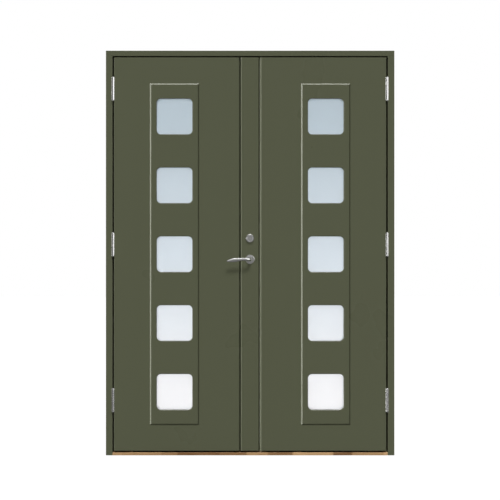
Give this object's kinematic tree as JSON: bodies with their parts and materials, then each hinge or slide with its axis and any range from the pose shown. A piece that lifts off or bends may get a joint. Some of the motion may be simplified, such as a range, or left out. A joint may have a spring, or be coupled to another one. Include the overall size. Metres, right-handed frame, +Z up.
{
  "type": "front door",
  "caption": "Double front door in a timber frame: olive painted leaves with raised fields, square satin windows, lift-off hinges, a lever handle and an oak threshold.",
  "frame": {"origin": "middle of the underside of the threshold: middle of the frame's width and depth", "axes": "+Z up, +X to the right seen from outside, +Y into the house"},
  "size_m": [1.49, 0.1734, 2.09],
  "materials": {
    "olive_paint": "satin olive paint on timber",
    "bare_wood": "bare softwood, hidden inside the leaf",
    "oak": "oiled oak in finger-jointed lengths",
    "hinge_steel": "satin",
    "plate_steel": "brushed",
    "lever_metal": "polished",
    "satin_glass": "satin glass",
    "spacer_aluminium": "satin",
    "seal_rubber": "matt"
  },
  "bodies": {
    "frame": {"head": "olive_paint", "left_jamb": "olive_paint", "right_jamb": "olive_paint", "threshold": "oak", "frame_seals": "seal_rubber", "left_hinge_pins": "hinge_steel", "right_hinge_pins": "hinge_steel"},
    "left_leaf": {"left_hinge_stile": "olive_paint", "left_top_rail": "olive_paint", "left_bottom_rail": "olive_paint", "left_outer_field": "olive_paint", "left_inner_field": "olive_paint", "left_glazing_cassette": "bare_wood", "left_panes": "satin_glass", "left_spacers": "spacer_aluminium", "left_hinge_barrels": "hinge_steel", "left_outer_face": "olive_paint", "left_inner_face": "olive_paint", "left_lock_stile": "olive_paint", "left_outer_lock_strip": "olive_paint", "left_inner_lock_strip": "olive_paint", "lock_faceplate": "plate_steel", "lock_bolts": "plate_steel", "outer_rose": "lever_metal", "inner_rose": "lever_metal", "outer_cylinder": "lever_metal", "inner_cylinder": "lever_metal"},
    "right_leaf": {"right_hinge_stile": "olive_paint", "right_top_rail": "olive_paint", "right_bottom_rail": "olive_paint", "right_outer_field": "olive_paint", "right_inner_field": "olive_paint", "right_glazing_cassette": "bare_wood", "right_panes": "satin_glass", "right_spacers": "spacer_aluminium", "right_hinge_barrels": "hinge_steel", "right_outer_face": "olive_paint", "right_inner_face": "olive_paint", "right_meeting_stile": "olive_paint", "strike_plate": "plate_steel"},
    "lever": {"outer_lever": "lever_metal", "inner_lever": "lever_metal", "spindle": "plate_steel"}
  },
  "joints": [
    {"name": "left_leaf_swing", "type": "hinge", "parent": "frame", "child": "left_leaf", "pos_m": [-0.707, -0.062, 0.285], "axis": [0, 0, -1], "range_deg": [0, 110]},
    {"name": "right_leaf_swing", "type": "hinge", "parent": "frame", "child": "right_leaf", "pos_m": [0.707, -0.062, 0.285], "axis": [0, 0, 1], "range_deg": [0, 110]},
    {"name": "lever_turn", "type": "hinge", "parent": "left_leaf", "child": "lever", "pos_m": [-0.001, -0.0525, 1.012], "axis": [0, -1, 0], "range_deg": [0, 40], "stiffness_Nm_per_rad": 1.5, "springref_deg": -20.05}
  ]
}
